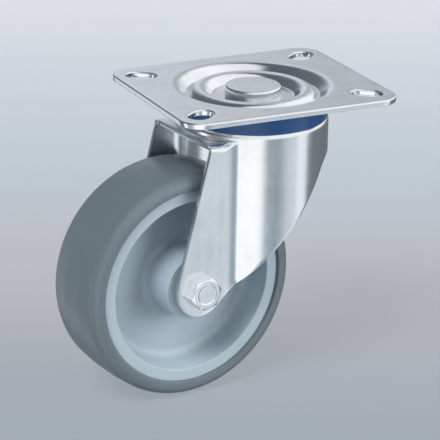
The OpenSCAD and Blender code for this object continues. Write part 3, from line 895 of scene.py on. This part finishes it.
def nut_parts(across):
    """Lock nut: bore, collar, chamfered hexagon and seat, on one polar grid that closes on itself."""
    angle = around(96)
    height, hexagon = 8.0, 5.6
    collar = across * CHAMFER / 2 - 0.4
    crown = ((BOLT_R, 0.0), (BOLT_R, height), (collar - 0.9, height), (collar - 0.3, height - 0.2),
             (collar, height - 0.8), (collar, hexagon))
    grid = np.array([polar(r, angle, z) for r, z in crown] + hexagon_rings(angle, across, 0.0, hexagon))
    points, faces = grid_part(grid * [1, -1, -1] - [0, 0, LEG_OUT], True, True)
    return [(on_axle(points), faces)]


def tube_profile():
    """Section: a plain tube between the legs."""
    return rounded([(HOLE_R, -LEG_IN, 0), (6.0, -LEG_IN, 0), (6.0, LEG_IN, 0), (HOLE_R, LEG_IN, 0)])


# Operators

class PieceOperator:
    """Builds its pieces from the settings of form and finish."""
    bl_options = {"REGISTER", "UNDO"}

    def execute(self, context):
        self.build(context.scene.castor_form, context.scene.castor_finish)
        return {"FINISHED"}


class CASTOR_OT_plate(PieceOperator, bpy.types.Operator):
    """Top plate with its pressing and slots, and the kingpin riveted into it"""
    bl_idname = "castor.plate"
    bl_label = "Plate and kingpin"

    def build(self, form, finish):
        sizes = (form.plate_length, form.plate_width, form.slot_length, form.slot_width)
        plate = make_mesh("plate", plate_parts(*(size / MM for size in sizes)))
        steel = plated_steel("plate steel", finish.steel, 0.18, (0.12, 1, 1), 0.0, grain=0.00001, wave=0.0001)
        seat_piece(plate, "root", ["top_plate"], steel)
        pin = make_mesh("kingpin_head", turned(kingpin_profile(), 96))
        steel = plated_steel("rivet steel", shade(finish.steel, 1.02), 0.22, grain=0.000008)
        seat_piece(pin, "root", ["kingpin"], steel)


class CASTOR_OT_bearing(PieceOperator, bpy.types.Operator):
    """Lower race, and the steel of the balls of both circles"""
    bl_idname = "castor.bearing"
    bl_label = "Races and balls"

    def build(self, form, finish):
        race = make_mesh("race", turned(lower_race_profile(), 96))
        seat_piece(race, "root", ["lower_race"], plated_steel("race steel", (0.6, 0.61, 0.63), 0.3))
        steel = plated_steel("ball steel", (0.72, 0.72, 0.74), 0.14, grain=0.000004, spread=0.03)
        for name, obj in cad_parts.items():
            if "_ball_" in name:
                obj.data.materials.clear()
                obj.data.materials.append(steel)


class CASTOR_OT_fork(PieceOperator, bpy.types.Operator):
    """Pressed fork: round head with ball tracks, web, legs and curved front wall in one sheet"""
    bl_idname = "castor.fork"
    bl_label = "Fork"

    def build(self, form, finish):
        fork = make_mesh("fork_shell", fork_parts(), smooth=60, outward=False)
        sheet = fork.modifiers.new("Sheet", "SOLIDIFY")
        sheet.thickness = FORK_T * MM
        sheet.offset = -1
        sheet.use_even_offset = True
        bevel(fork, 0.3, 60)
        steel = plated_steel("fork steel", finish.steel, 0.2, (1, 1, 0.08), grain=0.000006)
        seat_piece(fork, "swivel", ["fork"], steel)


class CASTOR_OT_dust_ring(PieceOperator, bpy.types.Operator):
    """Plastic dust ring between plate and fork"""
    bl_idname = "castor.dust_ring"
    bl_label = "Dust ring"

    def build(self, form, finish):
        ring = make_mesh("seal_ring", turned(dust_ring_profile(), 128))
        plastic = moulded("blue plastic", finish.ring, 0.32, 0.00001)
        seat_piece(ring, "swivel", ["dust_ring"], plastic)


class CASTOR_OT_wheel(PieceOperator, bpy.types.Operator):
    """Rim with its dished web, and the soft tyre round it"""
    bl_idname = "castor.wheel"
    bl_label = "Wheel"

    def build(self, form, finish):
        rim = make_mesh("wheel_rim", turned(rim_profile(), 192, on_axle))
        plastic = moulded("rim plastic", finish.rim, 0.22, 0.000006, mottling=0.02)
        seat_piece(rim, "wheel", ["rim"], plastic)
        tyre = make_mesh("wheel_tyre", turned(tyre_profile(form.tyre_width / MM), 192, on_axle))
        rubber = moulded("tyre rubber", finish.tyre, 0.3, 0.000012, 1400)
        seat_piece(tyre, "wheel", ["tyre"], rubber)


class CASTOR_OT_axle(PieceOperator, bpy.types.Operator):
    """Axle bolt, lock nut and tube"""
    bl_idname = "castor.axle"
    bl_label = "Axle"

    def build(self, form, finish):
        steel = plated_steel("bolt steel", shade(finish.steel, 1.03), 0.2, grain=0.000006)
        across = form.across_flats / MM
        for name, parts, node in (("bolt", bolt_parts(across), "axle_bolt"),
                                  ("nut", nut_parts(across), "axle_nut")):
            piece = make_mesh(name, parts, smooth=25)
            bevel(piece, 0.15, 25)
            seat_piece(piece, "swivel", [node], steel)
        tube = make_mesh("tube", turned(tube_profile(), 96, on_axle))
        steel = plated_steel("tube steel", (0.62, 0.63, 0.65), 0.35)
        seat_piece(tube, "swivel", ["axle_tube"], steel)


class CASTOR_OT_stage(bpy.types.Operator):
    """Floor, soft studio light and the camera"""
    bl_idname = "castor.stage"
    bl_label = "Stage"

    def execute(self, context):
        light = context.scene.castor_light
        place_camera(context.scene)
        place_floor(CAD_BOX[0][2])
        place_world(context.scene, light.world)
        for name, setting, share, width, way in SUNS:
            sun_light(name, getattr(light, setting) * share, width, way)
        context.scene.view_settings.view_transform = "Standard"
        return {"FINISHED"}


def camera_axes():
    """Right, up and back of the camera, from its azimuth, elevation and roll."""
    a, e, r = (math.radians(v) for v in CAMERA_TURN)
    back = np.array([math.sin(a) * math.cos(e), -math.cos(a) * math.cos(e), math.sin(e)])
    right = np.array([math.cos(a), math.sin(a), 0])
    up = np.cross(back, right)
    return right * math.cos(r) + up * math.sin(r), up * math.cos(r) - right * math.sin(r), back


def stand(obj, right, up, back, place):
    """Links an object to the scene with the given axes and place."""
    matrix = np.eye(4)
    matrix[:3] = np.stack([right, up, back, place], 1)
    obj.matrix_world = Matrix(matrix.tolist())
    bpy.context.scene.collection.objects.link(obj)


def place_camera(scene):
    """The photo's camera."""
    right, up, back = camera_axes()
    x, y, z = CAMERA_PLACE
    data = bpy.data.cameras.new("Camera")
    data.lens = CAMERA_LENS
    data.sensor_width = 36
    data.clip_end = 50
    camera = bpy.data.objects.new("Camera", data)
    stand(camera, right, up, back, (x * right + y * up + z * back) * MM)
    scene.camera = camera


def place_floor(low):
    """Pale floor whose colour falls off towards the camera, as painted shade. To the camera it partly
    glows, so that shadows stay soft. Diffuse rays see it in one grey, and glossy rays pass it, so that metal
    shows the studio."""
    size = 4.0
    mesh = bpy.data.meshes.new("floor")
    mesh.from_pydata([(-size, -size, low), (size, -size, low), (size, size, low), (-size, size, low)], [],
                     [(0, 1, 2, 3)])
    floor = bpy.data.objects.new("floor", mesh)
    bpy.context.scene.collection.objects.link(floor)
    n = MaterialNodes("pale floor")
    back = camera_axes()[2]
    away = n.part(n.mapping(-angle_of(-back)), "X")
    near, far = FLOOR_SHADED_COLOURS[0][0], FLOOR_SHADED_COLOURS[-1][0]
    stops = [((place - near) / (far - near), colour) for place, colour in FLOOR_SHADED_COLOURS]
    # painted shade: the floor's colour is darker towards the camera, and the camera sees it partly as glow
    colours = n.ramp(n.span(away, near, far), stops)
    tone = n.mixed(n.ray("Diffuse"), colours, (*FLOOR_BOUNCE, 1))
    inputs = {"Base Color": tone, "Roughness": 0.9, "Specular IOR Level": 0.0}
    plain = n.node("ShaderNodeBsdfPrincipled", "BSDF", inputs)
    surface = n.shaders(n.ray("Glossy"), plain, n.node("ShaderNodeBsdfTransparent", "BSDF", {}))
    glow = n.node("ShaderNodeEmission", "Emission", {"Color": colours})
    share = n.span(n.ray("Camera"), 0, 1, 0, FLOOR_GLOW)
    mesh.materials.append(n.finish(n.shaders(share, surface, glow)))


def place_world(scene, power):
    """The studio by direction: soft boxes and dark flags for reflections, an even room for diffuse light and
    a plain pale grey where the camera sees past the floor."""
    scene.world = bpy.data.worlds.new("Studio")
    n = Nodes(scene.world)
    way = n.node("ShaderNodeTexCoord", "Generated", {})
    up = n.part(way, "Z")
    turn = n.span(n.maths("ARCTAN2", n.part(way, "Y"), n.part(way, "X")), -math.pi, math.pi)
    below, above = (n.ramp(turn, [((degrees + 180) / 360, colour) for degrees, colour in table])
                    for table in (STUDIO_BELOW, STUDIO_ABOVE))
    reach = n.node("ShaderNodeVectorMath", "Value", {0: way, 1: FLAG_WAY}, operation="DOT_PRODUCT")
    flagged, upper, top = (n.span(value, low, high, kind="SMOOTHSTEP") for value, low, high in
                           ((reach, -0.05, 0.1), (up, -0.14, 0.1), (up, 0.8, 0.95)))
    ceiling = n.mixed(flagged, (*STUDIO_TOP, 1), (*STUDIO_FLAG, 1))
    studio = n.mixed(top, n.mixed(upper, below, above), ceiling)

    def background(colour, strength=1.0):
        """A background of one colour."""
        return n.node("ShaderNodeBackground", "Background", {"Color": colour, "Strength": strength})

    room = background(n.ramp(n.span(up, -1, 1), ROOM), power)
    lit = n.shaders(n.ray("Glossy"), room, background(studio))
    seen = n.shaders(n.ray("Camera"), lit, background((*BACKDROP, 1)))
    n.node("ShaderNodeOutputWorld", None, {"Surface": seen})


def sun_light(name, power, width, way):
    """Even light from one direction, as wide as the given degrees. Metal shows the studio instead of it."""
    data = bpy.data.lights.new(name, "SUN")
    data.energy = power
    data.angle = math.radians(width)
    lamp = bpy.data.objects.new(name, data)
    lamp.visible_glossy = False
    back = unit(np.array(way))
    right = unit(np.cross([0, 0, 1], back))
    stand(lamp, right, np.cross(back, right), back, way)


class CASTOR_PT_panel(bpy.types.Panel):
    """Lists the castor's pieces and settings"""
    bl_idname = "CASTOR_PT_panel"
    bl_label = "Swivel castor"
    bl_space_type = "VIEW_3D"
    bl_region_type = "UI"
    bl_category = "Castor"

    def draw(self, context):
        for name in ("castor_form", "castor_finish", "castor_light"):
            group = getattr(context.scene, name)
            box = self.layout.box()
            for key in group.__annotations__:
                box.prop(group, key)
        for piece in PIECES:
            self.layout.operator(piece.bl_idname)


PIECES = (CASTOR_OT_plate, CASTOR_OT_bearing, CASTOR_OT_fork, CASTOR_OT_dust_ring, CASTOR_OT_wheel,
          CASTOR_OT_axle, CASTOR_OT_stage)
GROUPS = {"castor_form": CastorForm, "castor_finish": CastorFinish, "castor_light": CastorLight}


def register():
    """Registers settings, operators and panel, and hangs the settings on the scene."""
    for group in GROUPS.values():
        bpy.utils.register_class(group)
    for piece in (*PIECES, CASTOR_PT_panel):
        bpy.utils.register_class(piece)
    for name, group in GROUPS.items():
        setattr(bpy.types.Scene, name, bpy.props.PointerProperty(type=group))


def unregister():
    """Takes back what register did, in the opposite order."""
    for name in GROUPS:
        delattr(bpy.types.Scene, name)
    for piece in (CASTOR_PT_panel, *PIECES[::-1]):
        bpy.utils.unregister_class(piece)
    for group in GROUPS.values():
        bpy.utils.unregister_class(group)


def main():
    """Builds the castor and its stage."""
    register()
    bpy.ops.castor.plate()
    bpy.ops.castor.bearing()
    bpy.ops.castor.fork()
    bpy.ops.castor.dust_ring()
    bpy.ops.castor.wheel()
    bpy.ops.castor.axle()
    bpy.ops.castor.stage()


if __name__ == "__main__":
    main()
